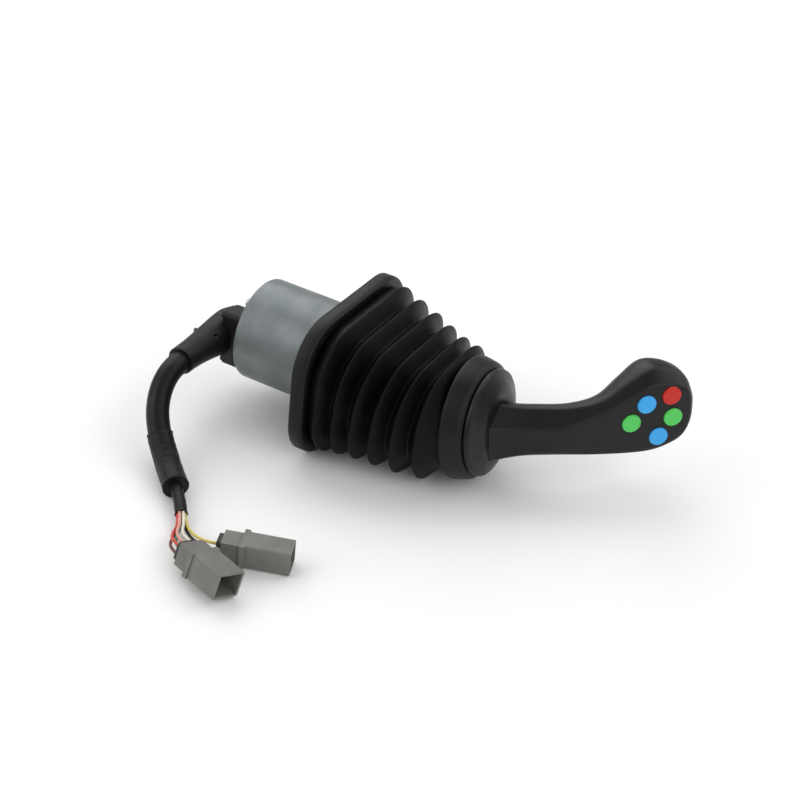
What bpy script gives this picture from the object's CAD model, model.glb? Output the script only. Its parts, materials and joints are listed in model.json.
import json
import math

import bpy
from mathutils import Matrix, Vector, noise


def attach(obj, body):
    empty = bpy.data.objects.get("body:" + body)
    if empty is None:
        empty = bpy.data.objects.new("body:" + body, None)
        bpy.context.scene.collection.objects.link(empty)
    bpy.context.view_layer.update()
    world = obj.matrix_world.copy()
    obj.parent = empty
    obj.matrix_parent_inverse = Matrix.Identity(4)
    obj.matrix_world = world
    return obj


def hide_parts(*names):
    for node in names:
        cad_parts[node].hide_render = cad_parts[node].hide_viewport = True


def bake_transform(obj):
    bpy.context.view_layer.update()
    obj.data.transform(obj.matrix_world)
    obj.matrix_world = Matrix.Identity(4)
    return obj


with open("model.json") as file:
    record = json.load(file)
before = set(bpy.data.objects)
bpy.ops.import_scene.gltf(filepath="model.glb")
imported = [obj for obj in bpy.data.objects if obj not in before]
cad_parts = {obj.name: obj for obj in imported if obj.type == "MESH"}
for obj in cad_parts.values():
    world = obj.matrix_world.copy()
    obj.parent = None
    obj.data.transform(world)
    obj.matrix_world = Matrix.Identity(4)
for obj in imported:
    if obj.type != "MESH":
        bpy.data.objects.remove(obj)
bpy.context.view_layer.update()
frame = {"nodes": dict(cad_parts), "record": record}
nodes = frame["nodes"]

# Camera
# Looks down at the joystick from the grip's side, with the frame of the photograph.
CAMERA_PLACE = Matrix((
    (0.867, -0.345, 0.360, 0.4158),
    (0.489, 0.446, -0.750, -0.7682),
    (0.099, 0.826, 0.555, 0.5543),
    (0.0, 0.0, 0.0, 1.0),
))
camera_data = bpy.data.cameras.new("camera")
camera_data.lens = 67.5
camera_data.sensor_width = 36.0
camera_data.clip_start = 0.01
camera = bpy.data.objects.new("camera", camera_data)
camera.matrix_world = CAMERA_PLACE
bpy.context.scene.collection.objects.link(camera)
bpy.context.scene.camera = camera


# Conduit
# A smooth black sleeve over the harness, from the elbow behind the can down to the surface it lies on.
# Soft vinyl tube, pushed into the elbow's end.
def mm(*point):
    return Vector(point) * 0.001


def colour(text):
    """Linear colour of an sRGB hex text."""
    parts = [int(text[i:i + 2], 16) / 255 for i in (1, 3, 5)]
    return [c / 12.92 if c <= 0.04045 else ((c + 0.055) / 1.055) ** 2.4 for c in parts] + [1.0]


def add(tree, kind, links=(), **values):
    """One shader node; values go to its inputs or its own settings, and links are (input, output) pairs."""
    made = tree.nodes.new(kind)
    for name, value in values.items():
        if hasattr(made, name):
            setattr(made, name, value)
        else:
            made.inputs[name.replace("_", " ")].default_value = value
    for name, output in links:
        tree.links.new(output, made.inputs[name])
    return made


def ramp(tree, factor, stops):
    made = add(tree, "ShaderNodeValToRGB", [("Fac", factor)])
    band = made.color_ramp
    while len(band.elements) < len(stops):
        band.elements.new(0.5)
    for element, (place, tone) in zip(band.elements, stops):
        element.position = place
        element.color = tone if isinstance(tone, list) else [tone, tone, tone, 1.0]
    return made


# A noise scale is in patterns per metre: 60 gives colour patches about 17 mm wide, and a grain of 900 is
# about 1.1 mm. Real grains are finer than that and are drawn as coarse as they need to show in the render.
DRIFT = 60.0
RELIEF_HEIGHT = 0.0002


def finish_material(name, base, dark, roughness, grain, bump, metallic=0.0, spread=0.08, shine=0.5):
    """Surface with slow colour drift, a fine grain in its relief and patchy gloss, in object coordinates."""
    material = bpy.data.materials.new(name)
    material.use_nodes = True
    tree = material.node_tree
    tree.nodes.clear()
    place = add(tree, "ShaderNodeTexCoord").outputs["Object"]
    drift = add(tree, "ShaderNodeTexNoise", [("Vector", place)], Scale=DRIFT, Detail=6.0)
    tone = ramp(tree, drift.outputs["Fac"], [(0.3, colour(dark)), (0.7, colour(base))])
    gloss = ramp(tree, drift.outputs["Fac"], [(0.3, roughness + spread), (0.75, roughness - spread)])
    fine = add(tree, "ShaderNodeTexNoise", [("Vector", place)], Scale=grain, Detail=3.0)
    relief = add(tree, "ShaderNodeBump", [("Height", fine.outputs["Fac"])], Strength=bump,
                 Distance=RELIEF_HEIGHT)
    shader = add(tree, "ShaderNodeBsdfPrincipled",
                 [("Base Color", tone.outputs[0]), ("Roughness", gloss.outputs[0]),
                  ("Normal", relief.outputs[0])], Metallic=metallic)
    shader.inputs["Specular IOR Level"].default_value = shine
    add(tree, "ShaderNodeOutputMaterial", [("Surface", shader.outputs[0])])
    return material


CORD_STEPS = 24
CORD_SIDES = 12


def route_curve(name, points, diameter):
    """Cord: one smooth spline through the run of the CAD route's points."""
    curve = bpy.data.curves.new(name, "CURVE")
    curve.dimensions = "3D"
    spline = curve.splines.new("NURBS")
    spline.points.add(len(points) - 1)
    for knot, point in zip(spline.points, points):
        knot.co = (*mm(*point), 1.0)
    spline.order_u = 3
    spline.use_endpoint_u = True
    spline.resolution_u = CORD_STEPS
    curve.bevel_depth = diameter / 2
    curve.bevel_resolution = CORD_SIDES
    curve.use_fill_caps = True
    made = bpy.data.objects.new(name, curve)
    bpy.context.scene.collection.objects.link(made)
    return made


def line_points(cord):
    """Points along a cord's spline, read from a copy of it that has no thickness."""
    thin = cord.copy()
    thin.data = cord.data.copy()
    thin.data.bevel_depth = 0
    line = bpy.data.meshes.new_from_object(thin)
    points = [v.co.copy() for v in line.vertices]
    bpy.data.objects.remove(thin)
    bpy.data.meshes.remove(line)
    return points


CONDUIT = 0.0155
CONDUIT_ROUTE = [
    (-86.2, -61.0, -1.0),
    (-86.2, -77.0, -1.0),
    (-84.6, -92.0, -8.2),
    (-79.0, -104.5, -18.6),
    (-70.3, -113.0, -29.6),
    (-59.5, -121.0, -38.0),
    (-48.0, -130.2, -42.0),
    (-37.2, -139.6, -42.0),
]
# Soft vinyl, extruded: near black, with a broad dull sheen along the tube.
vinyl = finish_material("black_vinyl_sleeve", "#0e0e0f", "#080809", 0.42, 900.0, 0.35, shine=0.25)
conduit = route_curve("harness_conduit", CONDUIT_ROUTE, CONDUIT)
conduit.data.materials.append(vinyl)
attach(conduit, "base")
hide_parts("conduit")

# Wires
# Seven thin PVC-insulated wires fan out of the inner sleeve into the seals of the two plugs.
# Each is a cord of its own, limp, and ends in the contact of its plug.
WIRE = 0.002
WIRE_OUT = 9.0
WIRE_IN = 8.0
WIRE_BOW = Vector((-1.2, -1.2, -0.8))
SEAL_LONG = 3.0
PIN_PITCH = 5.4
FLOOR_Z = -50.5
INNER_ROUTE = [(-37.2, -139.6, -42.0), (-28.15, -147.48, -42.0), (-19.6, -157.6, -44.4)]
# Each plug: the centre of its rear, its turn and roll in degrees, and its columns of contacts
PLUGS = {"six": ((9.7, -190.6, FLOOR_Z + 12.0), -16.7, 19.3, 3),
         "four": ((20.5, -169.5, FLOOR_Z + 8.5), 20.0, 0.0, 2)}
# Each wire: its place across and up in the inner sleeve, its plug, its contact's column and row, its colour
WIRES = {
    "wire_red": ((-2.4, 0.0), "six", 0, 1, "#c8402e"),
    "wire_brown": ((-1.2, -2.1), "six", 0, -1, "#6a4030"),
    "wire_green": ((0.0, 0.0), "six", 1, -1, "#3f8f66"),
    "wire_pink": ((-1.2, 2.1), "six", 1, 1, "#d99a92"),
    "wire_white": ((1.2, 2.1), "six", 2, 1, "#dcd8c8"),
    "wire_black": ((1.2, -2.1), "four", 0, -1, "#2a2826"),
    "wire_yellow": ((2.4, 0.0), "four", 0, 1, "#d8c266"),
}


def plug_matrix(plug):
    rear, turn, roll, _ = PLUGS[plug]
    place = Matrix.Translation(Vector(rear)) @ Matrix.Rotation(math.radians(turn), 4, "Z")
    return place @ Matrix.Rotation(math.radians(-roll), 4, "X")


def wire_route(name):
    """The CAD route's points: out of the sleeve, a low bow, and straight into the plug."""
    (across, up), plug, column, row, _ = WIRES[name]
    end = Vector(INNER_ROUTE[-1])
    ahead = (end - Vector(INNER_ROUTE[-2])).normalized()
    aside = Vector((0, 0, 1)).cross(ahead).normalized()
    start = end + across * aside + up * ahead.cross(aside)
    y = (column - (PLUGS[plug][3] - 1) / 2) * PIN_PITCH
    z = row * PIN_PITCH / 2
    seal = plug_matrix(plug) @ Vector((-SEAL_LONG, y, z))
    near = plug_matrix(plug) @ Vector((-SEAL_LONG - WIRE_IN, y, z))
    leave = start + WIRE_OUT * ahead
    middle = (leave + near) * 0.5 + WIRE_BOW
    return [start, leave, middle, near, seal]


wires = []
for wire_name in WIRES:
    wire = route_curve(wire_name, wire_route(wire_name), WIRE)
    tint = WIRES[wire_name][4]
    # Extruded PVC: one plain colour through and through, smooth with a soft gloss.
    insulation = finish_material("pvc_insulation_" + wire_name, tint, tint, 0.38, 700.0, 0.15)
    wire.data.materials.append(insulation)
    wire.name = wire_name + "_insulation"
    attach(wire, "base")
    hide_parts(wire_name)
    wires.append(wire)

# Floor and light
# A plain pale floor that the boot, the conduit and the plugs lie on, and large soft lamps.
# None of it belongs to the joystick.
FLOOR_LEVEL = -0.0514
FLOOR_HALF = 30
LIT_POINT = Vector((0.03, -0.04, 0))


def mesh_object(name, vertices, faces, smooth=True):
    mesh = bpy.data.meshes.new(name)
    mesh.from_pydata([tuple(v) for v in vertices], [], faces)
    mesh.validate()
    if smooth:
        mesh.shade_smooth()
    made = bpy.data.objects.new(name, mesh)
    bpy.context.scene.collection.objects.link(made)
    return made


def ring_skin(rings, closed_along=False):
    """Faces between rings of equal length, each ring closed on itself."""
    count = len(rings[0])
    faces = []
    last = len(rings) if closed_along else len(rings) - 1
    for i in range(last):
        a, b = i * count, ((i + 1) % len(rings)) * count
        for j in range(count):
            k = (j + 1) % count
            faces.append((a + j, a + k, b + k, b + j))
    return [p for ring in rings for p in ring], faces


floor_corners = [(x * FLOOR_HALF, y * FLOOR_HALF, FLOOR_LEVEL) for x, y in ((-1, -1), (1, -1), (1, 1), (-1, 1))]
floor = mesh_object("floor", floor_corners, [(0, 1, 2, 3)], smooth=False)
# Matt white background paper.
paper = bpy.data.materials.new("white_paper")
paper.use_nodes = True
paper_shader = paper.node_tree.nodes["Principled BSDF"]
paper_shader.inputs["Base Color"].default_value = (0.94, 0.94, 0.94, 1)
paper_shader.inputs["Roughness"].default_value = 0.9
floor.data.materials.append(paper)

world = bpy.data.worlds.new("studio")
world.use_nodes = True
backdrop = world.node_tree.nodes["Background"]
backdrop.inputs["Color"].default_value = (1, 1, 1, 1)
backdrop.inputs["Strength"].default_value = 0.34
bpy.context.scene.world = world
bpy.context.scene.view_settings.view_transform = "Standard"


def area_light(name, place, size, power):
    data = bpy.data.lights.new(name, "AREA")
    data.energy = power
    data.size = size
    lamp = bpy.data.objects.new(name, data)
    lamp.location = place
    lamp.rotation_euler = (LIT_POINT - Vector(place)).to_track_quat("-Z", "Y").to_euler()
    bpy.context.scene.collection.objects.link(lamp)


area_light("key", (-1.0, 0.8, 1.4), 2.0, 22)
area_light("side", (-1.3, -1.2, 1.1), 1.8, 17)
area_light("fill", (1.6, -0.7, 1.2), 1.8, 14)
area_light("back", (1.0, 1.3, 1.4), 1.8, 14)

# Conduit sleeves
# A heat-shrink sleeve closes the conduit's lower half, and a thinner one comes out of it round the wires.
# Both are shrunk tight and lightly wrinkled, with a lip where they were cut.
LIP = 0.25
LIP_POINTS = 2.0
CREASE_RATE = 0.33
SLOW_RATE = 0.07
SLEEVE_FROM = 4
OUTER_SLEEVE = (8.55, 0.8, 0.22)
INNER_SLEEVE = (4.0, 0.7, 0.16)


def sleeve(name, points, radius, wall, wrinkle, steps=72):
    """Tube wall along a cord's points, wrinkled across its run, open at both ends."""
    ahead = [(points[min(i + 1, len(points) - 1)] - points[max(i - 1, 0)]).normalized()
             for i in range(len(points))]
    aside = ahead[0].orthogonal().normalized()
    outer, inner = [], []
    run = 0.0
    for i, point in enumerate(points):
        aside = (aside - aside.dot(ahead[i]) * ahead[i]).normalized()
        other = ahead[i].cross(aside)
        if i:
            run += (point - points[i - 1]).length * 1000
        left = min(i, len(points) - 1 - i)
        lip = LIP * max(0.0, 1 - left / LIP_POINTS)
        for ring, base in ((outer, radius), (inner, radius - wall)):
            circle = []
            for step in range(steps):
                angle = 2 * math.pi * step / steps
                across, up = math.cos(angle), math.sin(angle)
                spoke = aside * across + other * up
                crease = noise.noise(Vector((run * CREASE_RATE, 2.2 * across, 2.2 * up)))
                slow = noise.noise(Vector((run * SLOW_RATE + 9, across, up)))
                size = base + (wrinkle * (crease + 0.8 * slow) + lip if ring is outer else 0.0)
                circle.append(point + spoke * size * 0.001)
            ring.append(circle)
    vertices, faces = ring_skin(outer + inner[::-1], closed_along=True)
    return mesh_object(name, vertices, faces)


# Shrunk polyolefin: black, a little greyer and rougher than the vinyl, with short creases.
shrink = finish_material("heat_shrink_tube", "#111112", "#0b0b0c", 0.48, 700.0, 0.4, shine=0.28)
conduit_line = line_points(conduit)
sleeve_from = mm(*CONDUIT_ROUTE[SLEEVE_FROM])
sleeve_start = min(range(len(conduit_line)), key=lambda i: (conduit_line[i] - sleeve_from).length)
outer_sleeve = sleeve("heat_shrink_tube", conduit_line[sleeve_start:], *OUTER_SLEEVE)
inner_curve = route_curve("inner_sleeve_line", INNER_ROUTE, 0.008)
inner_line = line_points(inner_curve)
bpy.data.objects.remove(inner_curve)
inner_sleeve = sleeve("inner_shrink_tube", inner_line, *INNER_SLEEVE)
for piece, node in ((outer_sleeve, "heat_shrink_sleeve"), (inner_sleeve, "inner_sleeve")):
    piece.data.materials.append(shrink)
    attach(piece, "base")
    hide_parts(node)

# Boot
# Moulded rubber in one piece on the real joystick: a thick rim round the plate, six sharp folds and a cuff.
# The rim stays with the base, the folds bend over the gimbal's two axes, and the cuff goes with the grip.
RIM_HALF = (67.4, 50.5)
RIM_CORNER = 33.4
RIM_DEPTH = 10.0
GRIP_ORIGIN = Vector((100.3246, 0.0, -6.28))
GRIP_TILT = math.radians(8.4)
GRIP_PLACE = Matrix.Translation(GRIP_ORIGIN * 0.001) @ Matrix.Rotation(-GRIP_TILT, 4, "Y")
RING_STEPS = 224
FOLD_WOBBLE = 0.5


def rounded_ring(half_y, half_z, corner):
    """Points round a rounded rectangle, evenly spaced along it, as (y, z)."""
    corner = min(corner, half_y - 0.05, half_z - 0.05)
    straight_y, straight_z = half_y - corner, half_z - corner
    lengths = [2 * straight_z, corner * math.pi / 2, 2 * straight_y, corner * math.pi / 2] * 2
    total = sum(lengths)
    points = []
    for step in range(RING_STEPS):
        along = total * step / RING_STEPS
        side = 0
        while along > lengths[side]:
            along -= lengths[side]
            side += 1
        quarter, arc = divmod(side, 2)
        turn = quarter * math.pi / 2
        if arc:
            angle = turn + along / corner
            signs = [(1, 1), (-1, 1), (-1, -1), (1, -1)][quarter]
            centre = (signs[0] * straight_y, signs[1] * straight_z)
            points.append((centre[0] + corner * math.cos(angle), centre[1] + corner * math.sin(angle)))
        elif quarter % 2 == 0:
            sign = 1 if quarter == 0 else -1
            points.append((sign * half_y, sign * (along - straight_z)))
        else:
            sign = 1 if quarter == 1 else -1
            points.append((sign * (straight_y - along), sign * half_z))
    return points


def boot_ring(key, inset=0.0):
    """One ring of the folds, from (x, half width, half height, drop, lean), slightly uneven as moulded."""
    x, half_y, half_z, drop, lean = key
    share = max(0.0, (x - RIM_DEPTH) / (GRIP_ORIGIN.x - RIM_DEPTH))
    corner = RIM_CORNER + (RETAINER_R - RIM_CORNER) * share
    turn = Matrix.Rotation(math.radians(lean), 4, "Y")
    points = []
    for y, z in rounded_ring(half_y - inset, half_z - inset, corner - inset):
        shift = FOLD_WOBBLE * noise.noise(Vector((y * 0.05, z * 0.05, x * 0.13)))
        point = turn @ Vector((shift * 0.6, y * (1 + 0.004 * shift), z * (1 + 0.004 * shift)))
        points.append(mm(x, 0, -drop) + point * 0.001)
    return points


RETAINER_R = 38.0
FOLD_X = [18.7, 31.2, 44.0, 57.0, 70.8, 85.2]
FOLD_IN_Y = [3.1, 4.1, 5.7, 8.8, 12.1, 17.2]
FOLD_IN_Z = [2.5, 5.3, 7.5, 8.4, 8.8, 7.6]
FOLD_DROP = [0.0, 1.5, 3.4, 5.9, 8.0, 8.3]
FOLD_LEAN = [1.5, 3.0, 4.5, 4.5, 3.3, 0.5]
NECK_IN = 6.4
VALLEY = 9.0
LAST_VALLEY_X = 93.0
THROAT = 37.6
BOOT_WALL = 2.2
RIDGE_ROUND = 1.3
VALLEY_ROUND = 1.9
SLACK = 0.5
SPLIT_X = 50.7


def between(values, i):
    return (values[i] + values[min(i + 1, len(values) - 1)]) / 2


def fold_profile():
    """(x, half width, half height, drop, lean, sharp) from the neck to the cuff: each ridge and its valley."""
    keys = [(RIM_DEPTH, RIM_HALF[0] - NECK_IN, RIM_HALF[1] - NECK_IN, 0.0, 0.0, 0)]
    ends = FOLD_X[1:] + [2 * LAST_VALLEY_X - FOLD_X[-1]]
    for i, x in enumerate(FOLD_X):
        keys.append((x, RIM_HALF[0] - FOLD_IN_Y[i], RIM_HALF[1] - FOLD_IN_Z[i],
                     FOLD_DROP[i], FOLD_LEAN[i], 1))
        keys.append(((x + ends[i]) / 2, RIM_HALF[0] - between(FOLD_IN_Y, i) - VALLEY,
                     RIM_HALF[1] - between(FOLD_IN_Z, i) - VALLEY, between(FOLD_DROP, i),
                     between(FOLD_LEAN, i), -1))
    keys.append((GRIP_ORIGIN.x + 0.5, THROAT, THROAT, -GRIP_ORIGIN.z, -math.degrees(GRIP_TILT), 0))
    return keys


def rounded_profile(keys):
    """The fold profile, with a small round on each ridge, a wider one in each valley and slack walls."""
    out = [list(keys[0][:5])]
    for before, here, after in zip(keys, keys[1:], keys[2:]):
        reach = RIDGE_ROUND if here[5] == 1 else VALLEY_ROUND
        spans = [math.dist(here[:3], other[:3]) for other in (before, after)]
        for third in (0.0, 0.25, 0.5, 0.75, 1.0):
            a, b = (1 - third) ** 2 * reach / spans[0], third ** 2 * reach / spans[1]
            out.append([h + (p - h) * a + (n - h) * b for p, h, n in zip(before[:5], here[:5], after[:5])])
        middle = [(h + n) / 2 for h, n in zip(here[:5], after[:5])]
        middle[1] -= SLACK
        middle[2] -= SLACK
        out.append(middle)
    out.append(list(keys[-1][:5]))
    return out


def fold_sheet(name, profile, wall):
    """Closed skin of even thickness over a run of the fold profile."""
    outer = [boot_ring(key) for key in profile]
    inner = [boot_ring(key, wall) for key in reversed(profile)]
    vertices, faces = ring_skin(outer + inner, closed_along=True)
    return mesh_object(name, vertices, faces)


profile = rounded_profile(fold_profile())
split_at = min(range(len(profile)), key=lambda i: abs(profile[i][0] - SPLIT_X))


def rubber_material(name, base, dusty, roughness, shine):
    """Moulded rubber: near black, dusted grey in the hollows, with fine mould grain and a greasy sheen."""
    material = bpy.data.materials.new(name)
    material.use_nodes = True
    tree = material.node_tree
    tree.nodes.clear()
    place = add(tree, "ShaderNodeTexCoord")
    slow = add(tree, "ShaderNodeTexNoise", [("Vector", place.outputs["Object"])], Scale=38.0, Detail=8.0,
               Roughness=0.62)
    tone = ramp(tree, slow.outputs["Fac"], [(0.35, colour(base)), (0.72, colour(dusty))])
    gloss = ramp(tree, slow.outputs["Fac"], [(0.3, roughness - 0.06), (0.7, roughness + 0.1)])
    grain = add(tree, "ShaderNodeTexNoise", [("Vector", place.outputs["Object"])], Scale=1400.0, Detail=2.0)
    ripple = add(tree, "ShaderNodeTexNoise", [("Vector", place.outputs["Object"])], Scale=120.0, Detail=3.0)
    both = add(tree, "ShaderNodeMath", [(0, grain.outputs["Fac"]), (1, ripple.outputs["Fac"])], operation="ADD")
    relief = add(tree, "ShaderNodeBump", [("Height", both.outputs[0])], Strength=0.3, Distance=0.0003)
    shader = add(tree, "ShaderNodeBsdfPrincipled",
                 [("Base Color", tone.outputs[0]), ("Roughness", gloss.outputs[0]),
                  ("Normal", relief.outputs[0])])
    shader.inputs["Specular IOR Level"].default_value = shine
    add(tree, "ShaderNodeOutputMaterial", [("Surface", shader.outputs[0])])
    return material


# Moulded rubber of the folds: the darkest part, nearly without a highlight.
boot_rubber = rubber_material("moulded_boot_rubber", "#040405", "#070708", 0.46, 0.14)
folds_lower = fold_sheet("boot_folds_lower", profile[:split_at + 1], BOOT_WALL)
folds_upper = fold_sheet("boot_folds_upper", profile[split_at:], BOOT_WALL)
for piece in (folds_lower, folds_upper):
    piece.data.materials.append(boot_rubber)
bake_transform(folds_lower)
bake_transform(folds_upper)

# Boot rim
# The boot's thick edge, a channel of the same rubber that grips the plate all round.
# It stays with the plate, and its front edge is rounded.
RIM_WOBBLE = 0.25


def rim_rings():
    """Rings of the rim's section, all round: outside, rounded front edge, neck and the plate's groove."""
    rings = []
    for x, inset in ((0.0, 0.6), (0.6, 0.0), (4.0, 0.0), (7.2, 0.0), (8.4, 0.25), (9.3, 0.9), (9.85, 1.8),
                     (10.0, 2.8), (10.0, 6.0), (10.3, 9.0), (4.0, 9.0), (4.0, 4.0), (2.0, 4.0), (2.0, 9.0),
                     (0.0, 9.0)):
        points = rounded_ring(RIM_HALF[0] - inset, RIM_HALF[1] - inset, RIM_CORNER - inset)
        ring = []
        for y, z in points:
            shift = RIM_WOBBLE * noise.noise(Vector((y * 0.04, z * 0.04, x * 0.1)))
            ring.append(mm(x, y, z) + mm(shift if 4 < x < 11 else 0, 0, 0))
        rings.append(ring)
    return rings


rim = mesh_object("boot_rim", *ring_skin(rim_rings(), closed_along=True))
# The same rubber where hands and panels rub it: a shade lighter, with a wider sheen.
rim_rubber = rubber_material("worn_rim_rubber", "#0d0d0e", "#141415", 0.42, 0.24)
rim.data.materials.append(rim_rubber)
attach(rim, "base")

# Boot cuff
# The boot's collar, stretched over the retainer disc under the grip, in the same moulding as the folds.
# Its rear edge overhangs the last fold, and it goes with the lever.


def spun(name, outline, place, steps=160, closed=True):
    """Body of revolution about the piece's own X axis from (x, radius) points in millimetres."""
    rings = []
    for x, radius in outline:
        ring = []
        for step in range(steps):
            angle = 2 * math.pi * step / steps
            ring.append(mm(x, radius * math.cos(angle), radius * math.sin(angle)))
        rings.append(ring)
    vertices, faces = ring_skin(rings, closed_along=closed)
    if not closed:
        count = len(rings[0])
        faces.append(tuple(range(count))[::-1])
        faces.append(tuple(len(vertices) - count + i for i in range(count)))
    return mesh_object(name, [place @ v for v in vertices], faces)


cuff = spun("boot_cuff", [
    (0.2, 36.0), (-0.9, 38.2), (-1.8, 39.6), (-2.0, 40.4), (-2.0, 41.5), (-1.85, 42.0), (-1.4, 42.4),
    (-0.8, 42.5), (0.8, 42.3), (2.6, 41.9), (5.8, 41.1), (8.6, 40.3), (9.8, 39.8), (10.8, 39.0), (11.6, 38.0),
    (12.2, 37.2), (12.5, 36.5), (12.4, 35.8), (12.5, 35.0),
    (12.5, 30.0), (8.8, 30.0), (8.8, 38.3), (2.2, 38.3), (2.2, 35.0)], GRIP_PLACE)
cuff.data.materials.append(rim_rubber)
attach(cuff, "lever")
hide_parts("bellows_boot")

# Grip flange
# The grip's round foot, glass-filled nylon, moulded separately and clamped on the bent rod.
# It sits in front of the cuff and runs up in a hollow curve to the handle's root.
flange = spun("grip_foot", [
    (12.8, 7.0), (12.8, 35.4), (13.0, 36.0), (13.5, 36.4), (15.6, 36.4), (16.6, 36.2), (17.1, 35.5),
    (17.5, 34.2), (18.1, 32.6), (19.2, 30.2), (20.6, 27.4), (21.8, 24.6), (22.4, 22.4), (22.5, 7.0)],
    GRIP_PLACE)
# Spark-grained glass-filled nylon: black, even and silky, with soft highlights.
nylon = finish_material("grained_grip_nylon", "#0d0d0c", "#080808", 0.38, 1500.0, 0.3, spread=0.05, shine=0.32)
flange.data.materials.append(nylon)
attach(flange, "lever")
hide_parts("grip_flange")

# Grip
# Two nylon mouldings, a front cover with the button face and a rear shell, that meet in a fine parting line.
HANDLE_X = 20.8
HANDLE_TURN = 27.6
FACE_TURN = 43.0
FACE_CENTRE = Vector((110.2, 51.6, 3.0))
FACE_OFFSET = 12.8
FACE_BLEND = 60.0
COVER_THICK = 3.0
# Each row: centre x, y and z, turn in degrees, half depth, half height, squareness, distance of the upper flat
HANDLE_SECTIONS = [
    (8.0, -6.7, -4.0, 27.6, 17.0, 17.6, 2.2, 13.9),
    (24.0, 1.7, -4.0, 27.6, 16.6, 17.2, 2.2, 13.7),
    (42.0, 11.1, -4.0, 27.6, 16.2, 16.7, 2.2, 13.6),
    (62.0, 22.0, -4.0, 30.0, 16.0, 16.7, 2.3, 13.9),
    (78.5, 34.0, -3.0, 38.0, 17.0, 19.2, 2.6, 16.2),
    (89.4, 47.7, 0.2, 44.0, 19.2, 25.2, 2.9, 21.4),
    (98.2, 61.3, 2.8, 45.0, 22.0, 29.9, 3.0, 26.6),
    (106.6, 69.5, 3.5, 44.0, 21.0, 29.0, 3.0, 25.7),
    (115.4, 76.1, 3.4, 43.0, 17.6, 24.6, 2.8, 21.8),
    (120.4, 80.1, 3.4, 43.0, 12.6, 17.5, 2.6, 15.6),
    (123.0, 81.7, 3.4, 43.0, 6.6, 9.0, 2.4, 8.0),
]
CUT_UP = math.radians(50)
ROOT_X = 21.0
ROOT_FLARE = 0.34
FLARE_FROM = 8
FLARE_REACH = 34
GRIP_RINGS = 110
FRONT_STEPS = 64
BACK_STEPS = 96


def heading(degrees):
    return Vector((math.cos(math.radians(degrees)), math.sin(math.radians(degrees)), 0))


def front_of(degrees):
    return Vector((math.sin(math.radians(degrees)), -math.cos(math.radians(degrees)), 0))


def smooth_between(table, where):
    """Catmull-Rom value of every column of a table at a fractional row."""
    i = min(int(where), len(table) - 2)
    t = where - i
    rows = [table[max(i - 1, 0)], table[i], table[i + 1], table[min(i + 2, len(table) - 1)]]
    out = []
    for a, b, c, d in zip(*rows):
        out.append(0.5 * (2 * b + (c - a) * t + (2 * a - 5 * b + 4 * c - d) * t * t
                          + (3 * b - a - 3 * c + d) * t ** 3))
    return out


def face_line(depth):
    """Points of the front surface in plan, from the handle's flat round its bend to the button face."""
    flat_to, face_to = heading(HANDLE_TURN), heading(FACE_TURN)
    on_flat = Vector((HANDLE_X, 0, 0)) + (FACE_OFFSET - depth) * front_of(HANDLE_TURN)
    on_face = Vector((FACE_CENTRE.x, FACE_CENTRE.y, 0)) - depth * front_of(FACE_TURN)
    run = (on_face - on_flat).dot(front_of(FACE_TURN)) / flat_to.dot(front_of(FACE_TURN))
    corner = on_flat + run * flat_to
    reach = FACE_BLEND * math.tan(math.radians((FACE_TURN - HANDLE_TURN) / 2))
    points = [corner - 120 * flat_to]
    for step in range(25):
        t = step / 24
        points.append(corner - flat_to * reach * (1 - t) ** 2 + face_to * reach * t ** 2)
    points.append(corner + 120 * face_to)
    return points


def distance_to(line, origin, direction):
    """How far the plan line is from a point along a direction."""
    best = 1e3
    for a, b in zip(line, line[1:]):
        edge = b - a
        cross = direction.x * edge.y - direction.y * edge.x
        if abs(cross) < 1e-9:
            continue
        gap = a - origin
        along = (gap.x * edge.y - gap.y * edge.x) / cross
        part = (gap.x * direction.y - gap.y * direction.x) / cross
        if -1e-6 <= part <= 1 + 1e-6 and along > -30:
            best = min(best, along)
    return best


FRONT_LINE = face_line(0)
SEAM_LINE = face_line(COVER_THICK)


def soft_least(values, power=34):
    return sum(v ** -power for v in values) ** (-1 / power)


def section_radius(angle, half_y, half_z, square, cut, flat):
    """Radius of the handle's section at an angle above its front, with its two flats cut across it."""
    c, s = math.cos(angle), math.sin(angle)
    oval = (abs(c / half_y) ** square + abs(s / half_z) ** square) ** (-1 / square)
    cuts = [oval]
    if math.cos(angle - CUT_UP) > 0.2:
        cuts.append(cut / math.cos(angle - CUT_UP))
    if c > 0.05:
        cuts.append(flat / c)
    return soft_least(cuts)


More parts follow.
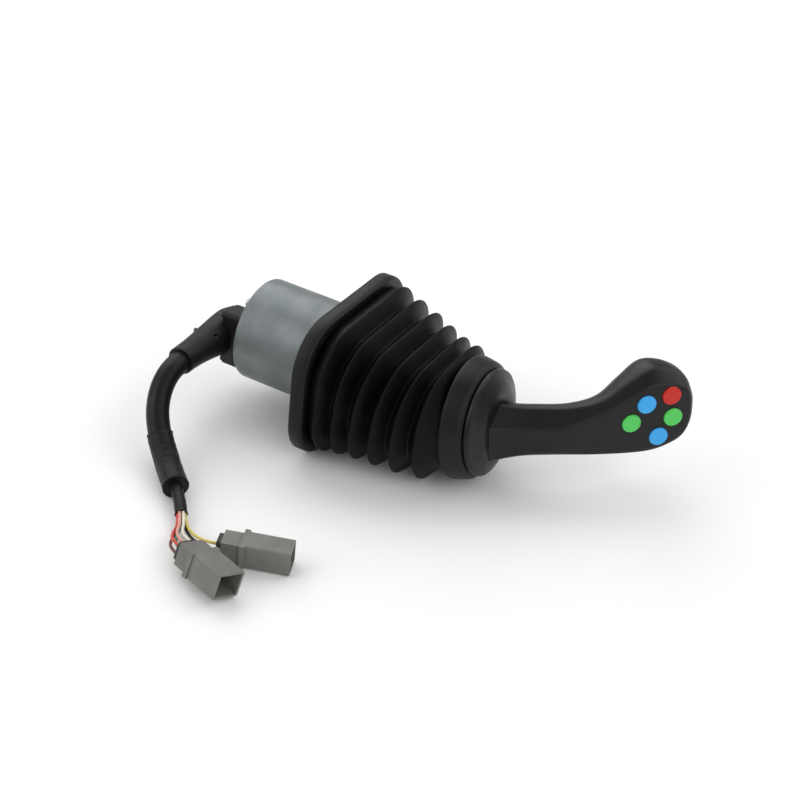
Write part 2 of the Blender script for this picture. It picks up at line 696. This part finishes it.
def grip_rows(front):
    """Rings along the handle: the part in front of the parting line, or the part behind it."""
    rows = []
    for ring in range(GRIP_RINGS + 1):
        where = (len(HANDLE_SECTIONS) - 1) * ring / GRIP_RINGS
        x, y, z, turn, half_y, half_z, square, cut = smooth_between(HANDLE_SECTIONS, where)
        centre = Vector((x, y, z))
        aim = front_of(turn)
        along = heading(turn)
        flat = distance_to(FRONT_LINE, Vector((x, y, 0)), aim)
        seam = distance_to(SEAM_LINE, Vector((x, y, 0)), aim)
        split = []
        for side in (1, -1):
            low, high = 0.0, math.pi / 2
            for _ in range(30):
                middle = (low + high) / 2
                radius = section_radius(middle * side, half_y, half_z, square, cut, flat)
                if radius * math.cos(middle) > seam:
                    low = middle
                else:
                    high = middle
            split.append(low * side)
        if front:
            start, span, steps = split[1], split[0] - split[1], FRONT_STEPS
        else:
            start, span, steps = split[0], 2 * math.pi + split[1] - split[0], BACK_STEPS
        row = []
        for angle in [start + span * i / steps for i in range(steps + 1)]:
            radius = section_radius(angle, half_y, half_z, square, cut, flat)
            near = max(0.0, 1 - (centre.x - FLARE_FROM) / FLARE_REACH)
            radius *= 1 + ROOT_FLARE * near * near * (1 if math.cos(angle) > -0.2 else 0.6)
            point = centre + aim * radius * math.cos(angle) + Vector((0, 0, radius * math.sin(angle)))
            if point.x < ROOT_X:
                point += along * ((ROOT_X - point.x) / along.x)
            row.append(point)
        rows.append(row)
    return rows


def grip_shell(name, front):
    """Outer skin of one half of the grip, closed over its tip and open towards the other half."""
    rows = grip_rows(front)
    count = len(rows[0])
    vertices = [GRIP_PLACE @ (point * 0.001) for row in rows for point in row]
    faces = []
    for i in range(len(rows) - 1):
        for j in range(count - 1):
            a = i * count + j
            faces.append((a, a + 1, a + count + 1, a + count))
    tip = (len(rows) - 1) * count
    faces.append(tuple(tip + j for j in range(count)))
    return mesh_object(name, vertices, faces)


grip_back = grip_shell("grip_back_moulding", False)
grip_front = grip_shell("grip_front_moulding", True)
for piece, node in ((grip_back, "grip_rear_shell"), (grip_front, "grip_front_cover")):
    piece.data.materials.append(nylon)
    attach(piece, "lever")
    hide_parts(node)

# Buttons
# Five flat round caps in coloured gloss plastic, each sprung in its own hole in the front cover.
BUTTONS = {
    "button_green_left": (-16.0, -3.1, "#52cc5c"),
    "button_blue_upper": (-5.8, 9.5, "#36a8ee"),
    "button_red": (11.4, 13.4, "#c81c08"),
    "button_green_right": (13.2, -3.0, "#52cc5c"),
    "button_blue_lower": (3.6, -16.3, "#36a8ee"),
}
CAP_OUTLINE = [
    (-4.3, 0.01), (-4.3, 7.5), (-3.4, 7.5), (-3.3, 6.5), (0.4, 6.5), (0.8, 6.42), (1.05, 6.2), (1.18, 5.8),
    (1.2, 5.2), (1.14, 3.5), (1.08, 1.5), (1.06, 0.01)]
FACE_AXES = Matrix((front_of(FACE_TURN), heading(FACE_TURN), (0, 0, 1))).transposed().to_4x4()
for cap_name, (along, up, tint) in BUTTONS.items():
    centre = FACE_CENTRE + along * heading(FACE_TURN) + Vector((0, 0, up))
    place = GRIP_PLACE @ Matrix.Translation(centre * 0.001) @ FACE_AXES
    cap = spun(cap_name + "_cap", CAP_OUTLINE, place, steps=96, closed=False)
    # Moulded ABS: one bright colour, with a satin gloss.
    gloss_abs = finish_material("gloss_cap_" + cap_name, tint, tint, 0.32, 500.0, 0.08, shine=0.4)
    cap.data.materials.append(gloss_abs)
    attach(cap, cap_name)
    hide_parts(cap_name)

# Carried-over parts
# Every CAD node that keeps its own shape gets its material here, by its slot: metal parts, boards, plugs,
# the elbow and what is inside. Each row is a name, two colours, roughness, grain, relief and metallic.
FINISHES = {
    "zinc_steel": ("zinc_plated_steel", "#7a8081", "#6c7374", 0.44, 260.0, 0.25, 0.45),
    "black_steel": ("black_painted_steel", "#222223", "#161617", 0.5, 500.0, 0.4, 0.0),
    "steel": ("bright_steel", "#b4b4b2", "#98989a", 0.3, 400.0, 0.15, 1.0),
    "black_oxide": ("black_oxide_steel", "#2a2a2b", "#1a1a1b", 0.4, 500.0, 0.2, 0.6),
    "brass": ("turned_brass", "#c2a062", "#a88848", 0.32, 400.0, 0.15, 1.0),
    "gasket_rubber": ("gasket_rubber", "#1c1c1c", "#121212", 0.7, 800.0, 0.3, 0.0),
    "cast_aluminium": ("cast_aluminium", "#b2b2b4", "#9a9a9c", 0.45, 600.0, 0.5, 0.9),
    "black_nylon": ("glass_filled_nylon", "#101011", "#0a0a0b", 0.48, 900.0, 0.4, 0.0),
    "bush_plastic": ("acetal_bush", "#d8d2c0", "#c8c0ac", 0.4, 500.0, 0.1, 0.0),
    "magnet": ("nickel_plated_magnet", "#c4c4c4", "#aeaeae", 0.2, 300.0, 0.05, 1.0),
    "board": ("green_circuit_board", "#1f5a34", "#17482a", 0.35, 500.0, 0.1, 0.0),
    "chip": ("black_epoxy", "#202020", "#181818", 0.5, 600.0, 0.2, 0.0),
    "plug_nylon": ("grey_plug_nylon", "#7c7a75", "#6e6c67", 0.5, 900.0, 0.3, 0.0),
    "seal_silicone": ("grey_silicone_seal", "#3e3e3c", "#30302f", 0.5, 500.0, 0.2, 0.0),
    "tinned_brass": ("tinned_contact", "#c9c4b4", "#b0aa98", 0.3, 400.0, 0.1, 1.0),
}
OXIDE_SCREWS = ("elbow_screws", "flange_screws")
made_finishes = {}
for entry in frame["record"]["subparts"]:
    slot_name = entry["material_slot"]
    node = nodes[entry["node"]]
    if slot_name not in FINISHES:
        continue
    if slot_name not in made_finishes:
        *look, metal = FINISHES[slot_name]
        made_finishes[slot_name] = finish_material(*look, metallic=metal, shine=0.5 if metal else 0.3)
    node.data.materials.clear()
    node.data.materials.append(made_finishes[slot_name])
for name in OXIDE_SCREWS:
    nodes[name].data.materials.clear()
    nodes[name].data.materials.append(made_finishes["black_oxide"])

# Declared cords
# The conduit from the elbow to its open end, and each wire from the inner sleeve to its plug.
# A wire's spline cuts the corners of its control points, so its length is a share of their run.
for wire in wires:
    wire_name = wire.name.removesuffix("_insulation")
